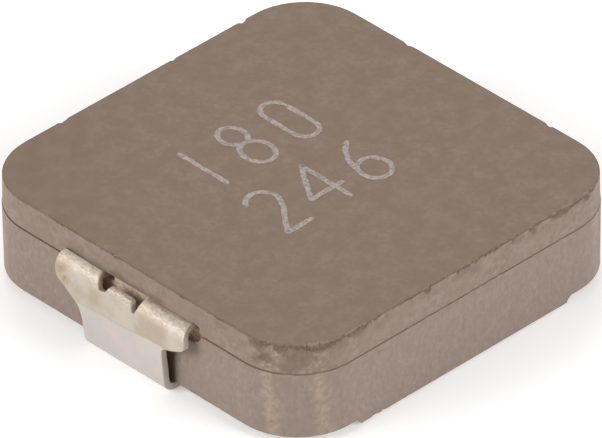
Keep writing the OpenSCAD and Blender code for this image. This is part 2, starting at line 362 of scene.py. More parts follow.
def paintBlock(piece):
    # amounts of wear, stain and rubbing at each point, which the block's finish mixes
    b = block
    mesh = piece.data
    co = np.zeros(len(mesh.vertices) * 3)
    mesh.vertices.foreach_get("co", co)
    co = co.reshape(-1, 3) / mm
    x, y, z = co.T
    centre = b["wall"] - b["corner"]
    base, _ = roundSquare(b["columns"], b["wall"], b["corner"])
    topWear = wholeWear(base, topBites, b["topWear"])
    angle = np.arctan2(base[:, 1], base[:, 0])
    order = np.argsort(angle)
    wear = np.interp(np.arctan2(y, x), angle[order], topWear[order], period=2 * math.pi)

    # distance in from the wall, and how much the surface is a wall
    qx, qy = np.abs(x) - centre, np.abs(y) - centre
    outside = np.hypot(np.maximum(qx, 0), np.maximum(qy, 0)) + np.minimum(np.maximum(qx, qy), 0)
    inWall = b["corner"] - outside
    wall = 1 - ease(inWall, 0.05, 0.10)
    drop = b["top"] - z

    # dark broken material under the edge, deepest at the nearest corner
    turn = np.degrees(np.arctan2(-y - centre, -x - centre)) - 45
    atCorner = ((x < -centre + 0.8) & (y < -centre + 0.8)).astype(float)
    nearCorner = atCorner * np.exp(-(turn / 36) ** 4)
    rag = np.array([noise.noise(Vector((px * 5, py * 5, pz * 7))) for px, py, pz in co])
    rag2 = np.array([noise.noise(Vector((px * 13, py * 13, pz * 13 + 5))) for px, py, pz in co])
    reach = 0.012 + 1.15 * wear + nearCorner * (0.10 + 0.14 * rag)
    broken = wall * (1 - ease(drop + 0.05 * rag2, reach * 0.7, reach * 1.2 + 0.02))
    # painted light: the reliefs behind the bends are painted pale, so they show lighter than their shade
    # lets them
    inRelief = (inWall > 0.05) & (np.abs(x) > centre) & (np.abs(y) < 2.70) & (z > 1.9) & (z < 2.6)
    dusty = inRelief.astype(float)
    stain = np.zeros(len(co))
    pale = np.zeros(len(co))
    for bend, low, wide, tall, much in cornerStains:
        shape = ((turn - bend + 7 * rag) / wide) ** 2 + ((drop - low + 0.10 * rag2) / tall) ** 2
        blot = atCorner * wall * (1 - ease(shape, 0.35, 1.25)) * abs(much)
        if much > 0:
            stain = np.maximum(stain, blot)
        else:
            pale = np.maximum(pale, blot)
    for here, along, marks in ((y < -b["wall"] + 0.4, x, frontStains + frontSpots()),
                               (x < -b["wall"] + 0.4, y, leftStains)):
        for place, low, wide, tall, much in marks:
            shape = (((along - place + 0.08 * rag) / wide) ** 2
                     + ((drop - low + 0.06 * rag2) / tall) ** 2)
            blot = here * wall * (1 - ease(shape, 0.3, 1.2)) * abs(much)
            if much > 0:
                stain = np.maximum(stain, blot)
            else:
                pale = np.maximum(pale, blot)
    specks = ease(0.7 * rag2 + 0.5 * rag, 0.05, 0.30)
    stain = np.maximum(stain, 0.6 * nearCorner * wall * (z > b["parting"]) * specks)
    # painted shade: the wall right behind a tab is painted dark, for the shadow the tab casts on it
    behind = ease(np.abs(x), b["wall"] - 0.2, b["wall"] - 0.1) * (z < 1.75) * (z > 0.2)
    acrossTab = np.where(x < 0, y, -y)
    behind *= ease(acrossTab, -1.66, -1.60) * (1 - ease(acrossTab, 1.50, 1.56))

    # two upright bands that rubbing has made pale, on every round corner
    rub = np.zeros(len(co))
    for cx, cy, turned, low in ((-1, -1, 0, 1), (1, -1, 1, 0.7), (1, 1, 2, 0.8), (-1, 1, 3, 0.75)):
        here = ((x * cx > centre - 0.6) & (y * cy > centre - 0.6)).astype(float)
        bend = np.degrees(np.arctan2(y * cy - centre, x * cx - centre)) - 45
        if (cx, cy) == (-1, -1):
            bend = -bend
        wander = 1.5 * np.sin(z * 2.1 + turned) + 6 * rag + 3 * rag2
        for middle, half in ((-19.0 + turned, 5.5), (21.5 - turned, 5.5)):
            band = 1 - ease(np.abs(bend + wander - middle), half * 0.2, half * 1.6)
            rub = np.maximum(rub, here * low * band)
    rub = np.maximum(rub * wall * np.where(z > b["parting"], 0.25, 0.8), pale)
    paint(piece, broken=broken, stain=stain, rub=rub, hidden=behind, dusty=dusty)


class Finish:
    # a node material that is put together a step at a time
    def __init__(self, name):
        self.material = bpy.data.materials.new(name)
        self.material.use_nodes = True
        self.tree = self.material.node_tree
        self.tree.nodes.clear()
        self.out = self.node("ShaderNodeOutputMaterial")
        self.shader = self.node("ShaderNodeBsdfPrincipled")
        self.join(self.shader.outputs[0], self.out.inputs["Surface"])

    def node(self, kind, **settings):
        made = self.tree.nodes.new(kind)
        for key, value in settings.items():
            setattr(made, key, value)
        return made

    def join(self, source, target):
        self.tree.links.new(source, target)

    def feed(self, socket, value):
        if hasattr(value, "links"):
            self.join(value, socket)
        elif value is not None:
            socket.default_value = value

    def place(self, scale=(1, 1, 1), shift=(0, 0, 0)):
        # the point's own place on the piece in millimetres, stretched
        coord = self.node("ShaderNodeTexCoord")
        mapping = self.node("ShaderNodeMapping")
        mapping.inputs["Scale"].default_value = [s / mm for s in scale]
        mapping.inputs["Location"].default_value = shift
        self.join(coord.outputs["Object"], mapping.inputs["Vector"])
        return mapping.outputs["Vector"]

    def speckle(self, place, scale, detail=2.0, rough=0.5):
        made = self.node("ShaderNodeTexNoise")
        made.inputs["Scale"].default_value = scale
        made.inputs["Detail"].default_value = detail
        made.inputs["Roughness"].default_value = rough
        self.join(place, made.inputs["Vector"])
        return made.outputs["Fac"]

    def spread(self, value, low, high, toLow=0.0, toHigh=1.0):
        made = self.node("ShaderNodeMapRange", interpolation_type="SMOOTHSTEP")
        self.feed(made.inputs["Value"], value)
        made.inputs["From Min"].default_value = low
        made.inputs["From Max"].default_value = high
        made.inputs["To Min"].default_value = toLow
        made.inputs["To Max"].default_value = toHigh
        return made.outputs["Result"]

    def sum(self, kind, first, second):
        made = self.node("ShaderNodeMath", operation=kind)
        self.feed(made.inputs[0], first)
        self.feed(made.inputs[1], second)
        return made.outputs[0]

    def blendColours(self, amount, first, second):
        made = self.node("ShaderNodeMix", data_type="RGBA")
        self.feed(made.inputs["Factor"], amount)
        self.feed(made.inputs["A"], first)
        self.feed(made.inputs["B"], second)
        return made.outputs["Result"]

    def painted(self, name):
        return self.node("ShaderNodeAttribute", attribute_name=name).outputs["Fac"]

    def relief(self, height, strength, distance, under=None):
        made = self.node("ShaderNodeBump")
        made.inputs["Strength"].default_value = strength
        made.inputs["Distance"].default_value = distance * mm
        self.join(height, made.inputs["Height"])
        if under is not None:
            self.join(under, made.inputs["Normal"])
        return made.outputs["Normal"]


powderLook = {
    "top": screen(135, 116, 100),
    "topDark": screen(128, 109, 93),
    "topPale": screen(140, 121, 106),
    "olive": screen(133, 116, 99),
    "wallUpper": screen(152, 134, 122),
    "wallUpperDark": screen(134, 116, 103),
    "wall": screen(155, 138, 127),
    "wallPale": screen(166, 150, 139),
    "wallDark": screen(143, 125, 113),
    "broken": screen(104, 86, 70),
    "stain": screen(110, 92, 75),
    "rub": screen(182, 163, 146),
    # painted glints for the broken edges
    "brokenGlint": screen(188, 172, 152),
    "groove": screen(110, 94, 82),
    # painted shade for the wall behind each tab
    "hidden": screen(108, 90, 74),
    # painted light for the reliefs behind the bends
    "dust": screen(226, 205, 183),
    "roughness": (0.62, 0.76),
}


def powderFinish():
    look = powderLook
    f = Finish("pressed_powder_finish")
    even = f.place()
    upright = f.place((1, 1, 0.28), (3, 1, 0))
    fine = f.speckle(even, 6.0, 4.0, 0.65)
    # flecks that break up the broken edges and the painted light in the reliefs
    dust = f.speckle(f.place((1, 1, 1), (4, 2, 9)), 15.0, 2.0, 0.6)
    coarse = f.speckle(f.place((1, 1, 1), (5, 5, 5)), 1.7, 2.0)
    broad = f.speckle(f.place((1, 1, 1), (7, 4, 1)), 0.55, 1.0)
    drag = f.speckle(upright, 7.0, 3.0, 0.6)

    geometry = f.node("ShaderNodeNewGeometry")
    split = f.node("ShaderNodeSeparateXYZ")
    f.join(geometry.outputs["Normal"], split.inputs[0])
    upward = f.spread(split.outputs["Z"], 0.45, 0.85)
    spot = f.node("ShaderNodeSeparateXYZ")
    f.join(even, spot.inputs[0])
    height = spot.outputs["Z"]

    top = f.blendColours(f.spread(fine, 0.30, 0.70), look["topDark"], look["topPale"])
    top = f.blendColours(f.spread(coarse, 0.30, 0.70, 0.0, 0.7), top, look["top"])
    top = f.blendColours(f.spread(broad, 0.50, 0.72, 0.0, 0.5), top, look["olive"])
    # painted shade: the top darkens towards its far left corner, where -X meets +Y
    shadeTowardCorner = f.sum("SUBTRACT", spot.outputs["Y"], spot.outputs["X"])
    top = f.blendColours(f.spread(shadeTowardCorner, 5.0, 11.0, 0.0, 0.75), top, look["topDark"])

    streaked = f.blendColours(f.spread(drag, 0.30, 0.70), look["wallDark"], look["wallPale"])
    mottled = f.speckle(f.place((1, 1, 0.75), (2, 2, 2)), 7.5, 4.0, 0.7)
    wall = f.blendColours(f.spread(mottled, 0.32, 0.68), look["wallDark"], look["wallPale"])
    wall = f.blendColours(0.35, wall, streaked)
    wall = f.blendColours(f.spread(coarse, 0.30, 0.70, 0.1, 0.6), wall, look["wall"])
    wallUpper = f.blendColours(f.spread(fine, 0.32, 0.68), look["wallUpperDark"], look["wallPale"])
    wallUpper = f.blendColours(f.spread(coarse, 0.3, 0.7, 0.35, 0.85), wallUpper, look["wallUpper"])
    above = f.spread(height, block["parting"] - 0.01, block["parting"] + 0.01)
    wall = f.blendColours(above, wall, wallUpper)
    rubbed = f.sum("MULTIPLY", f.painted("rub"), f.spread(fine, 0.30, 0.58, 0.0, 1.0))
    wall = f.blendColours(rubbed, wall, look["rub"])
    stained = f.sum("MULTIPLY", f.painted("stain"), f.spread(fine, 0.30, 0.62, 0.35, 1.0))
    wall = f.blendColours(stained, wall, look["stain"])
    line = f.sum("ABSOLUTE", f.sum("SUBTRACT", height, block["parting"]), None)
    wall = f.blendColours(f.spread(line, 0.010, 0.034, 0.75, 0.0), wall, look["groove"])

    colour = f.blendColours(upward, wall, top)
    brokenAmount = f.sum("MULTIPLY", f.painted("broken"), f.spread(dust, 0.28, 0.58, 0.35, 1.0))
    colour = f.blendColours(brokenAmount, colour, look["broken"])
    # painted shade on the wall behind each tab
    colour = f.blendColours(f.painted("hidden"), colour, look["hidden"])
    # painted light: the reliefs behind the bends are painted pale
    reliefLit = f.sum("MULTIPLY", f.painted("dusty"), f.spread(dust, 0.30, 0.62, 0.45, 1.0))
    colour = f.blendColours(reliefLit, colour, look["dust"])
    # painted glints: pale specks over the broken edges
    glint = f.sum("MULTIPLY", f.painted("broken"), f.spread(f.speckle(even, 17, 1), 0.70, 0.76))
    colour = f.blendColours(glint, colour, look["brokenGlint"])
    f.feed(f.shader.inputs["Base Color"], colour)
    f.feed(f.shader.inputs["Roughness"], f.spread(coarse, 0.3, 0.7, *look["roughness"]))
    f.shader.inputs["Specular IOR Level"].default_value = 0.4
    bumps = f.relief(f.speckle(even, 13, 3, 0.6), 0.22, 0.010)
    bumps = f.relief(drag, 0.15, 0.008, bumps)
    f.feed(f.shader.inputs["Normal"], bumps)
    return f.material


tinLook = {
    # upper and lower: painted reflection, the same tin in two tones on either side of the crease
    "upper": screen(187, 172, 154),
    "upperWarm": screen(204, 192, 179),
    # bend and glint: the bend's cracked plating with a painted highlight, and painted glints
    "bend": screen(220, 207, 196),
    "bendDark": screen(192, 178, 164),
    "glint": screen(250, 241, 232),
    "lower": screen(211, 202, 196),
    "lowerCool": screen(205, 198, 194),
    "crease": screen(188, 178, 164),
    "stain": screen(166, 144, 116),
    "cut": screen(206, 197, 187),
    # a darker brown for the cut face on the front side of the window
    "sooty": screen(182, 160, 142),
    "roughness": (0.50, 0.62),
    "creaseHeight": 1.565,
    "creaseSlope": -0.055,   # the crease isn't quite level
}


def tinFinish(side):
    look = tinLook
    f = Finish("tinned_sheet_finish_left" if side < 0 else "tinned_sheet_finish_right")
    even = f.place()
    fine = f.speckle(even, 9.0, 3.0, 0.55)
    coarse = f.speckle(f.place((1, 1, 1), (2, 5, 3)), 1.4, 2.0)
    cracks = f.speckle(f.place((1, 0.45, 1), (2, 5, 3)), 17.0, 3.0, 0.65)
    spot = f.node("ShaderNodeSeparateXYZ")
    f.join(even, spot.inputs[0])
    # painted reflection: the same tin is beige above the crease and paler grey below it, for the different
    # light the two slopes reflect; a darker line runs along the crease
    upper = f.blendColours(f.spread(coarse, 0.35, 0.65), look["upper"], look["upperWarm"])
    lower = f.blendColours(f.spread(coarse, 0.35, 0.65), look["lower"], look["lowerCool"])
    tilt = f.sum("MULTIPLY", spot.outputs["Y"], look["creaseSlope"] * side)
    line = f.sum("ADD", f.sum("ADD", spot.outputs["Z"], tilt), f.spread(coarse, 0.2, 0.8, -0.03, 0.03))
    crease = look["creaseHeight"]
    colour = f.blendColours(f.spread(line, crease - 0.03, crease + 0.03), lower, upper)
    fromLine = f.sum("ABSOLUTE", f.sum("SUBTRACT", line, crease + 0.02), None)
    colour = f.blendColours(f.spread(fromLine, 0.0, 0.07, 0.55, 0.0), colour, look["crease"])
    # partly painted highlight: the bend is painted lighter for its cracked plating and for the light it
    # catches, and its cracks carry near-white painted glints
    bend = f.painted("bend")
    crackedBendHighlight = f.blendColours(f.spread(cracks, 0.38, 0.56), look["bendDark"], look["bend"])
    colour = f.blendColours(f.sum("MULTIPLY", bend, 0.75), colour, crackedBendHighlight)
    shine = f.sum("MULTIPLY", bend, f.spread(cracks, 0.62, 0.68, 0.0, 0.8))
    colour = f.blendColours(shine, colour, look["glint"])
    grime = f.sum("MULTIPLY", f.painted("grime"), f.spread(f.speckle(even, 3.4, 3), 0.36, 0.66))
    colour = f.blendColours(grime, colour, look["stain"])
    colour = f.blendColours(f.painted("cutEdge"), colour, look["cut"])
    colour = f.blendColours(f.painted("sooty"), colour, look["sooty"])
    f.feed(f.shader.inputs["Base Color"], colour)
    f.shader.inputs["Metallic"].default_value = 0.35
    f.feed(f.shader.inputs["Roughness"], f.spread(fine, 0.3, 0.7, *look["roughness"]))
    smooth = f.relief(fine, 0.2, 0.010)
    f.feed(f.shader.inputs["Normal"], f.relief(f.sum("MULTIPLY", cracks, bend), 0.5, 0.035, smooth))
    return f.material


def copperFinish():
    f = Finish("enamelled_wire_finish")
    even = f.place()
    tone = f.blendColours(f.spread(f.speckle(even, 5, 2), 0.3, 0.7),
                          screen(150, 74, 38), screen(186, 104, 58))
    f.feed(f.shader.inputs["Base Color"], tone)
    f.shader.inputs["Metallic"].default_value = 0.7
    f.feed(f.shader.inputs["Roughness"], f.spread(f.speckle(even, 9, 2), 0.3, 0.7, 0.22, 0.4))
    f.shader.inputs["Coat Weight"].default_value = 0.6
    return f.material


def markFinish():
    f = Finish("pale_mark_finish")
    even = f.place()
    fine = f.speckle(even, 11, 3, 0.6)
    tone = f.blendColours(f.spread(fine, 0.32, 0.66), screen(142, 128, 120), screen(188, 176, 173))
    f.feed(f.shader.inputs["Base Color"], tone)
    f.feed(f.shader.inputs["Roughness"], f.spread(fine, 0.3, 0.7, 0.6, 0.8))
    return f.material


# the folded terminals, in millimetres and degrees
terminalShape = {
    "sheet": 0.22,
    "topBend": (6.329, 2.11),    # centre of the bend at the wall
    "topRadius": 0.30,           # both radii are to the middle of the sheet
    "upperLean": 4.0,
    "upperRun": 0.55,
    "crease": 9.0,
    "tabRun": 1.1722,
    "footRadius": 0.33,
    "footBend": 85.0,
    "footRun": 1.757,
    "held": 1.283,
    "rim": 0.035,                # rounding of the cut edges
}


def sheetPath(shape):
    # straight and bent runs of the sheet: start, length, radius (0 is straight), place and heading
    runs, s = [], -shape["held"]
    x, z, heading = shape["topBend"][0] - shape["held"], shape["topBend"][1] + shape["topRadius"], 0.0
    legs = [(shape["held"], 0, 0), (None, shape["topRadius"], 90 - shape["upperLean"]),
            (shape["upperRun"] - 0.03, 0, 0), (None, 0.4, shape["crease"]), (shape["tabRun"] - 0.03, 0, 0),
            (None, shape["footRadius"], shape["footBend"]), (shape["footRun"], 0, 0)]
    for length, radius, turn in legs:
        if radius:
            length = radius * math.radians(turn)
        runs.append((s, length, radius, x, z, heading))
        if radius:
            after = heading + math.radians(turn)
            x += radius * (math.sin(after) - math.sin(heading))
            z += radius * (math.cos(after) - math.cos(heading))
            heading = after
        else:
            x += length * math.cos(heading)
            z -= length * math.sin(heading)
        s += length
    return runs


def onSheet(runs, s, straightFrom=None):
    # place and outward direction at s; a tongue keeps the heading of straightFrom
    if straightFrom is not None and s < straightFrom:
        x, z, nx, nz = onSheet(runs, straightFrom)
        return x + nz * (s - straightFrom), z - nx * (s - straightFrom), nx, nz
    leg = [r for r in runs if r[0] <= s + 1e-9][-1] if s > runs[0][0] else runs[0]
    start, _, radius, x, z, heading = leg
    if radius:
        after = heading + (s - start) / radius
        x += radius * (math.sin(after) - math.sin(heading))
        z += radius * (math.cos(after) - math.cos(heading))
        heading = after
    else:
        x += (s - start) * math.cos(heading)
        z -= (s - start) * math.sin(heading)
    return x, z, math.sin(heading), math.cos(heading)


# the cut blank, laid flat: y across and s along, with s = 0 where the top bend starts
seenBlank = {
    "outline": [(2.40, -1.283), (2.42, -0.2), (2.47, 0.02), (2.52, 0.12), (2.53, 0.30),
                (2.54, 0.46), (2.53, 0.56), (2.47, 0.66), (2.36, 0.75), (2.10, 0.90), (1.85, 1.06),
                (1.70, 1.18), (1.61, 1.32), (1.56, 1.50), (1.53, 1.75), (1.51, 2.4), (1.50, 4.55),
                (1.42, 4.63), (-1.50, 4.63), (-1.58, 4.55), (-1.60, 2.4), (-1.60, 1.45),
                (-1.61, 1.12), (-1.63, 1.01), (-1.70, 0.96), (-1.95, 0.91), (-2.20, 0.81),
                (-2.38, 0.73), (-2.46, 0.66), (-2.47, 0.56), (-2.44, 0.40), (-2.38, 0.22),
                (-2.33, 0.06), (-2.30, -0.2), (-2.30, -1.283)],
    "window": [(1.0, -0.48), (1.0, 0.0), (0.96, 0.16), (0.90, 0.30), (0.84, 0.375), (0.77, 0.39),
               (0.69, 0.365), (0.61, 0.31), (0.55, 0.23), (0.50, 0.14), (0.44, 0.095),
               (0.30, 0.10), (0.18, 0.085), (0.05, 0.102), (-0.08, 0.088), (-0.20, 0.107),
               (-0.30, 0.10), (-0.37, 0.13), (-0.40, 0.22), (-0.405, 0.34), (-0.43, 0.44),
               (-0.47, 0.475), (-0.52, 0.455), (-0.57, 0.36), (-0.62, 0.20), (-0.64, 0.02),
               (-0.62, -0.48)],
    "tongue": (-0.46, 0.66),
    "lean": (0.05, 0.028),       # how far the bend stands proud of the seat, and its tilt across the sheet
    "seed": 3.0,
}
farBlank = {
    "outline": [(2.38, -1.283), (2.38, -0.2), (2.38, 0.05), (2.42, 0.30), (2.47, 0.55),
                (2.48, 0.64), (2.44, 0.71), (2.34, 0.79), (2.10, 0.93), (1.85, 1.06), (1.70, 1.17),
                (1.61, 1.30), (1.57, 1.50), (1.56, 1.75), (1.55, 2.4), (1.55, 4.55), (1.47, 4.63),
                (-1.47, 4.63), (-1.55, 4.55), (-1.55, 2.4), (-1.56, 1.75), (-1.57, 1.45),
                (-1.61, 1.30), (-1.70, 1.19), (-1.88, 1.08), (-2.15, 0.95), (-2.38, 0.81),
                (-2.46, 0.73), (-2.48, 0.65), (-2.45, 0.52), (-2.40, 0.30), (-2.36, 0.08),
                (-2.34, -0.2), (-2.34, -1.283)],
    "window": [(0.82, -0.48), (0.82, 0.02), (0.80, 0.22), (0.76, 0.36), (0.69, 0.42), (0.61, 0.43),
               (0.54, 0.40), (0.48, 0.34), (0.47, 0.24), (0.47, 0.10), (0.36, 0.088), (0.24, 0.10),
               (0.12, 0.086), (0.0, 0.10), (-0.13, 0.09), (-0.26, 0.102), (-0.38, 0.09),
               (-0.47, 0.11), (-0.47, 0.25), (-0.48, 0.37), (-0.53, 0.43), (-0.60, 0.44),
               (-0.68, 0.42), (-0.75, 0.35), (-0.79, 0.24), (-0.80, 0.02), (-0.80, -0.48)],
    "tongue": (-0.53, 0.53),
    "lean": (0.03, -0.010),
    "seed": 17.0,
}


def closeLine(points, step):
    # the closed line with a point at least every step
    out = []
    for (ay, a), (by, b) in zip(points, points[1:] + points[:1]):
        count = max(1, int(math.hypot(by - ay, b - a) / step))
        out += [(ay + (by - ay) * i / count, a + (b - a) * i / count) for i in range(count)]
    return out


def softLine(points):
    # rounds the corners of a line without moving its long straight runs
    out = []
    for before, here, after in zip(points[-1:] + points[:-1], points, points[1:] + points[:1]):
        out.append(tuple(0.5 * h + 0.25 * (b + a) for b, h, a in zip(before, here, after)))
    return out


def flatBlank(blank):
    outline = softLine(closeLine(blank["outline"], 0.07))
    window = closeLine(blank["window"], 0.035)
    form = bmesh.new()
    edges = []
    for line in (outline, window):
        verts = [form.verts.new((y, s, 0)) for y, s in line]
        edges += [form.edges.new((a, b)) for a, b in zip(verts, verts[1:] + verts[:1])]
    bmesh.ops.triangle_fill(form, use_beauty=True, use_dissolve=False, edges=edges, normal=(0, 0, 1))
    # faces that filled the window go
    for edge in form.edges:
        edge.seam = len(edge.link_faces) == 2
    inside = [f for f in form.faces if insideLine(f.calc_center_median()[:2], window)]
    bmesh.ops.delete(form, geom=inside, context="FACES")
    cuts = [(1, s) for s in np.arange(-1.2, 0, 0.2)] + [(1, s) for s in np.arange(0.0, 0.48, 0.04)]
    cuts += [(1, s) for s in np.arange(0.55, 2.15, 0.09)] + [(1, s) for s in np.arange(2.18, 2.75, 0.05)]
    cuts += [(1, s) for s in np.arange(2.9, 4.6, 0.2)] + [(0, y) for y in np.arange(-2.4, 2.45, 0.12)]
    for axis, place in cuts:
        spot, way = (0, place, 0) if axis else (place, 0, 0), (0, 1, 0) if axis else (1, 0, 0)
        bmesh.ops.bisect_plane(form, geom=form.verts[:] + form.edges[:] + form.faces[:], dist=1e-4,
                               plane_co=spot, plane_no=way)
    inner = [e for e in form.edges if e.seam and len(e.link_faces) == 2]
    bmesh.ops.dissolve_edges(form, edges=inner, use_verts=True, use_face_split=False)
    bmesh.ops.remove_doubles(form, verts=form.verts, dist=2e-3)
    return form


def insideLine(point, line):
    y, s = point
    inside = False
    for (ay, a), (by, b) in zip(line, line[1:] + line[:1]):
        if (a > s) != (b > s) and y < (by - ay) * (s - a) / (b - a) + ay:
            inside = not inside
    return inside


def makeTerminal(name, blank, side):
    shape = terminalShape
    runs = sheetPath(shape)
    form = flatBlank(blank)
    form.verts.ensure_lookup_table()
    form.verts.index_update()
    flat = np.array([v.co[:2] for v in form.verts])
    rimEdges = [(e.verts[0].index, e.verts[1].index, e.link_faces[0])
                for e in form.edges if len(e.link_faces) == 1]
    # outward direction, in the flat, at each point of the rim
    push = {}
    rimFaces = []
    for a, b, face in rimEdges:
        loop = [v.index for v in face.verts]
        if loop[(loop.index(a) + 1) % len(loop)] != b:
            a, b = b, a
        d = flat[b] - flat[a]
        n = np.array([d[1], -d[0]]) / max(1e-9, np.hypot(*d))
        rimFaces.append((a, b))
        for i in (a, b):
            push[i] = push.get(i, np.zeros(2)) + n
    rim = sorted(push)
    rimN = np.array([push[i] / max(1e-9, np.hypot(*push[i])) for i in rim])
    rimP = flat[rim]
    isRim = np.zeros(len(flat), bool)
    isRim[rim] = True
    keep = 1.6 * shape["rim"]
    for i in range(len(flat)):
        if not isRim[i]:
            gap = rimP - flat[i]
            near = np.argmin((gap ** 2).sum(1))
            depth = float(gap[near] @ rimN[near])
            if abs(depth) < keep and np.hypot(*gap[near]) < 0.12:
                flat[i] -= rimN[near] * (keep - depth)

    half = shape["sheet"] / 2
    low, high = blank["tongue"]
    base = runs[2][0]
    seed = blank["seed"]

    def lift(y, s, t):
        # from the flat to the folded sheet, t out from the middle of the sheet
        onTongue = low < y < high and -0.2 < s < base
        x, z, nx, nz = onSheet(runs, s, base if onTongue else None)
        wave = 0.012 * grain(y, s, seed, 0.9, seed) + 0.004 * grain(y, s, seed, 3.5, seed + 5)
        free = float(ease(np.array(s), -0.02, 0.06)) * (1 - float(ease(np.array(s), 2.15, 2.7)))
        out = t + wave * free
        proud = blank["lean"][0] + blank["lean"][1] * y
        onBend = float(ease(np.array(s), -0.028, 0.03)) * (1 - float(ease(np.array(s), 0.15, 0.55)))
        rise = 0 if onTongue else proud * onBend
        return (x + nx * out, y, z + nz * out + rise)

    points, faces, runOf, acrossOf = [], [], [], []

    def addLayer(t, inset):
        start = len(points)
        place = flat.copy()
        place[rim] = rimP - rimN * inset
        points.extend(lift(y, s, t) for y, s in place)
        runOf.extend(s for y, s in place)
        acrossOf.extend(y for y, s in place)
        return start

    corner = shape["rim"]
    outer = addLayer(half, corner)
    inner = addLayer(-half, corner)
    for face in form.faces:
        loop = [v.index for v in face.verts]
        faces.append([outer + i for i in loop])
        faces.append([inner + i for i in reversed(loop)])
    levels = [(half - 0.3 * corner, 0.3 * corner), (half - corner, 0.0), (half * 0.25, 0.0),
              (-half * 0.3, 0.0), (corner - half, 0.0), (0.3 * corner - half, 0.3 * corner)]
    rings = [{i: outer + i for i in rim}]
    for t, inset in levels:
        ring = {}
        for i, p, n in zip(rim, rimP, rimN):
            torn = low - 0.02 < p[0] < high + 0.02 and p[1] < 0.13
            rag = (0.022 * grain(p[0], t, seed, 14, seed) if torn
                   else 0.003 * grain(p[0], p[1], t, 9, seed))
            q = p - n * (inset + rag)
            ring[i] = len(points)
            points.append(lift(q[0], q[1], t))
            runOf.append(q[1])
            acrossOf.append(q[0])
        rings.append(ring)
    rings.append({i: inner + i for i in rim})
    for first, second in zip(rings, rings[1:]):
        for a, b in rimFaces:
            faces.append([first[b], first[a], second[a], second[b]])
    flip = -1 if side < 0 else 1
    cutStart = inner + len(flat)
    points = [(x * flip, y, z) for x, y, z in points]
    if flip < 0:
        faces = [f[::-1] for f in faces]
    piece = meshPiece(name, points, faces)
    form.free()
    facesOutward(piece)
    smoothWithCreases(piece, 42)
    # cut edges and the stain near one wing, for the finish
    cutEdge = np.zeros(len(piece.data.vertices), np.float32)
    cutEdge[cutStart:] = 1.0
    co = np.array([v.co for v in piece.data.vertices]) / mm
    spotY = -2.15 * side
    grime = np.exp(-((co[:, 1] - spotY) / 0.36) ** 2 - ((co[:, 2] - 2.1) / 0.36) ** 2)
    run = np.array(runOf)
    isWindow = np.abs(np.array(acrossOf)) < 1.1
    bend = ease(run, -0.06, 0.03) * (1 - ease(run, 0.18, 0.42))
    bend = np.maximum(bend, 0.8 * cutEdge * (run < 0.13) * (run > 0.0))
    cutFace = cutEdge.copy()
    cutEdge *= 1 - bend
    # the cut face on the side of the window that faces the front is painted a darker brown
    inWindow = isWindow & (run < 0.47) & (np.array(acrossOf) > high + 0.02)
    sooty = 0.9 * cutFace * inWindow
    bend *= 1 - sooty
    cutEdge *= 1 - sooty
    paint(piece, cutEdge=cutEdge, grime=grime, bend=bend, sooty=sooty)
    return piece


digitLook = {
    "height": 2.1,
    "stroke": 0.155,
    "thick": 0.004,
    "rows": [  # baseline, then each digit's middle
        (0.88, [(-1.79, "1"), (-0.20, "8"), (1.45, "0")]),
        (-1.88, [(-1.75, "2"), (-0.10, "4"), (1.50, "6")]),
    ],
}


def digitLine(digit):
    # the path of a pen that draws the digit in a box 0.6 wide and 1 high
    def arc(cx, cy, rx, ry, a, b, count=22):
        return [(cx + rx * math.cos(math.radians(a + (b - a) * i / count)),
                 cy + ry * math.sin(math.radians(a + (b - a) * i / count))) for i in range(count + 1)]
    if digit == "0":
        return (arc(0, 0.77, 0.19, 0.20, 0, 180) + arc(0, 0.23, 0.19, 0.20, 180, 360)
                + [(0.19, 0.5), (0.19, 0.77)])
    if digit == "1":
        return [(0.0, 0.02), (0.0, 0.5), (0.0, 0.97)]
    if digit == "2":
        return (arc(0, 0.73, 0.22, 0.23, 165, -20)
                + [(0.11, 0.46), (-0.09, 0.23), (-0.23, 0.03), (0.0, 0.03), (0.23, 0.03)])
    if digit == "4":
        return [(0.12, 0.02), (0.12, 0.5), (0.12, 0.97), (-0.08, 0.68),
                (-0.30, 0.34), (0.0, 0.34), (0.28, 0.34)]
    if digit == "6":
        return [(0.17, 0.95), (0.01, 0.82), (-0.13, 0.62)] + arc(0, 0.27, 0.215, 0.24, 160, 510, 40)
    return arc(0, 0.745, 0.18, 0.215, -90, 270, 36) + arc(0, 0.275, 0.215, 0.255, 90, -270, 40)


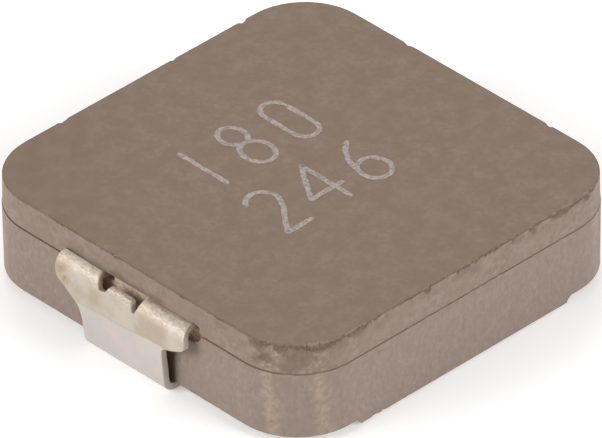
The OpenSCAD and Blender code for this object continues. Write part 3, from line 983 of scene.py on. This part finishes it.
def printedDigits():
    look = digitLook
    points, faces = [], []
    level = block["top"] - 0.0085
    for baseline, row in look["rows"]:
        for centre, digit in row:
            line = [(centre + px * look["height"], baseline + py * look["height"])
                    for px, py in digitLine(digit)]
            fine = []
            for a, b in zip(line, line[1:]):
                count = max(1, int(math.dist(a, b) / 0.035))
                fine += [(a[0] + (b[0] - a[0]) * i / count, a[1] + (b[1] - a[1]) * i / count)
                         for i in range(count)]
            fine.append(line[-1])
            rings = []
            for i, (x, y) in enumerate(fine):
                ax, ay = fine[max(0, i - 2)]
                bx, by = fine[min(len(fine) - 1, i + 2)]
                run = math.hypot(bx - ax, by - ay) or 1
                nx, ny = -(by - ay) / run, (bx - ax) / run
                ends = min(i, len(fine) - 1 - i) * 0.035
                width = look["stroke"] / 2 * min(1, 0.45 + ends * 5)
                wide = width * (1 + 0.30 * grain(x, y, 1, 5, centre) + 0.22 * grain(x, y, 1, 14, centre))
                slim = width * (1 + 0.30 * grain(x, y, 7, 5, centre) + 0.22 * grain(x, y, 7, 14, centre))
                z = level + 0.0012 * i / len(fine)
                low, high = z - look["thick"], z + look["thick"]
                ax, ay, bx, by = x + nx * wide, y + ny * wide, x - nx * slim, y - ny * slim
                rings.append([(ax, ay, low), (ax, ay, high), (bx, by, high), (bx, by, low)])
            start = len(points)
            for ring in rings:
                points.extend(ring)
            for i in range(len(rings) - 1):
                a = start + 4 * i
                for k in range(4):
                    m = (k + 1) % 4
                    faces.append((a + k, a + m, a + 4 + m, a + 4 + k))
            faces.append((start, start + 3, start + 2, start + 1))
            last = start + 4 * (len(rings) - 1)
            faces.append((last, last + 1, last + 2, last + 3))
    piece = meshPiece("printed_digits", points, faces)
    facesOutward(piece)
    return piece


core = blockSkin()
cutToBlock(core)
easeGroove(core)
smoothWithCreases(core, 38)
paintBlock(core)
core.data.materials.clear()
core.data.materials.append(powderFinish())
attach(core, "root")
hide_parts("pressed_core")
print("stage: block", len(core.data.polygons), "faces")

for name, node, blank, side in (("folded_terminal_left", "terminal_left", seenBlank, -1),
                                ("folded_terminal_right", "terminal_right", farBlank, 1)):
    terminal = makeTerminal(name, blank, side)
    terminal.data.materials.append(tinFinish(side))
    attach(terminal, "root")
    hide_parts(node)
    print("stage:", name, len(terminal.data.polygons), "faces")

digits = printedDigits()
digits.data.materials.append(markFinish())
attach(digits, "root")

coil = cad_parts["winding"]
coil.data.materials.clear()
coil.data.materials.append(copperFinish())
print("stage: digits and coil")


studio = {
    "floor": screen(246, 246, 246),
    "floorReach": 900,
    "sky": 0.24,
    "floorGlow": 0.37,
    "lamps": [  # direction it stands in (azimuth, elevation), distance and size in millimetres, strength
        ("key_softbox", (-110, 29), 420, 260, 0.58),
        ("front_softbox", (17, 28), 420, 240, 0.55),
        ("back_fill", (140, 40), 450, 300, 0.22),
    ],
}


def makeFloor():
    far = studio["floorReach"]
    floor = meshPiece("floor", [(-far, -far, 0), (far, -far, 0), (far, far, 0), (-far, far, 0)],
                      [(0, 1, 2, 3)])
    f = Finish("pale_floor")
    f.shader.inputs["Base Color"].default_value = studio["floor"]
    f.shader.inputs["Roughness"].default_value = 0.9
    f.shader.inputs["Specular IOR Level"].default_value = 0.0
    path = f.node("ShaderNodeLightPath")
    seen = f.sum("MAXIMUM", path.outputs["Is Camera Ray"], path.outputs["Is Glossy Ray"])
    seen = f.sum("MAXIMUM", seen, path.outputs["Is Transmission Ray"])
    glow = f.node("ShaderNodeEmission")
    f.feed(glow.inputs["Strength"], f.sum("MULTIPLY", seen, studio["floorGlow"]))
    both = f.node("ShaderNodeAddShader")
    f.join(f.shader.outputs[0], both.inputs[0])
    f.join(glow.outputs[0], both.inputs[1])
    f.join(both.outputs[0], f.out.inputs["Surface"])
    floor.data.materials.append(f.material)


def makeSky():
    world = bpy.data.worlds.new("studio_sky")
    bpy.context.scene.world = world
    world.use_nodes = True
    tree = world.node_tree
    tree.nodes.clear()
    path = tree.nodes.new("ShaderNodeLightPath")
    most = tree.nodes.new("ShaderNodeMath")
    most.operation = "MAXIMUM"
    tree.links.new(path.outputs["Is Camera Ray"], most.inputs[0])
    tree.links.new(path.outputs["Is Glossy Ray"], most.inputs[1])
    also = tree.nodes.new("ShaderNodeMath")
    also.operation = "MAXIMUM"
    tree.links.new(most.outputs[0], also.inputs[0])
    tree.links.new(path.outputs["Is Transmission Ray"], also.inputs[1])
    level = tree.nodes.new("ShaderNodeMapRange")
    level.inputs["To Min"].default_value = studio["sky"]
    level.inputs["To Max"].default_value = 1.0
    tree.links.new(also.outputs[0], level.inputs["Value"])
    sky = tree.nodes.new("ShaderNodeBackground")
    sky.inputs["Color"].default_value = (1, 1, 1, 1)
    tree.links.new(level.outputs[0], sky.inputs["Strength"])
    out = tree.nodes.new("ShaderNodeOutputWorld")
    tree.links.new(sky.outputs[0], out.inputs["Surface"])


def makeLamps():
    for name, (azimuth, elevation), away, size, strength in studio["lamps"]:
        lamp = bpy.data.lights.new(name, "AREA")
        lamp.shape, lamp.size = "DISK", size * mm
        # a strength of 1 shows a white card that faces the lamp as white
        lamp.energy = strength * (away * mm) ** 2 * math.pi * math.pi
        a, e = math.radians(azimuth), math.radians(elevation)
        place = Vector((math.sin(a) * math.cos(e), -math.cos(a) * math.cos(e), math.sin(e))) * away
        lamp.color = (1.0, 0.985, 0.965)
        holder = bpy.data.objects.new(name, lamp)
        holder.location = place * mm
        holder.rotation_euler = (-place).to_track_quat("-Z", "Y").to_euler()
        bpy.context.scene.collection.objects.link(holder)


lens = {
    "azimuth": -43.6583,
    "elevation": 35.4343,
    "roll": -0.7847,
    "distance": 339.6,
    "target": (0.062, 0.082, 1.542),
    "focal": 752.7,
}


def makeCamera():
    az, el, roll = (math.radians(lens[k]) for k in ("azimuth", "elevation", "roll"))
    back = Vector((math.sin(az) * math.cos(el), -math.cos(az) * math.cos(el), math.sin(el)))
    right = (-back).cross(Vector((0, 0, 1))).normalized()
    up = right.cross(-back)
    across = right * math.cos(roll) + up * math.sin(roll)
    upward = up * math.cos(roll) - right * math.sin(roll)
    camera = bpy.data.cameras.new("camera")
    camera.sensor_width = 36.0
    camera.lens = lens["focal"]
    camera.clip_start, camera.clip_end = 0.01, 20.0
    holder = bpy.data.objects.new("camera", camera)
    turn = Matrix((across, upward, back)).transposed()
    holder.rotation_euler = turn.to_euler()
    holder.location = (Vector(lens["target"]) + back * lens["distance"]) * mm
    bpy.context.scene.collection.objects.link(holder)
    bpy.context.scene.camera = holder


makeFloor()
makeSky()
makeLamps()
makeCamera()
bpy.context.scene.view_settings.view_transform = "Standard"
print("stage: floor, light and camera")
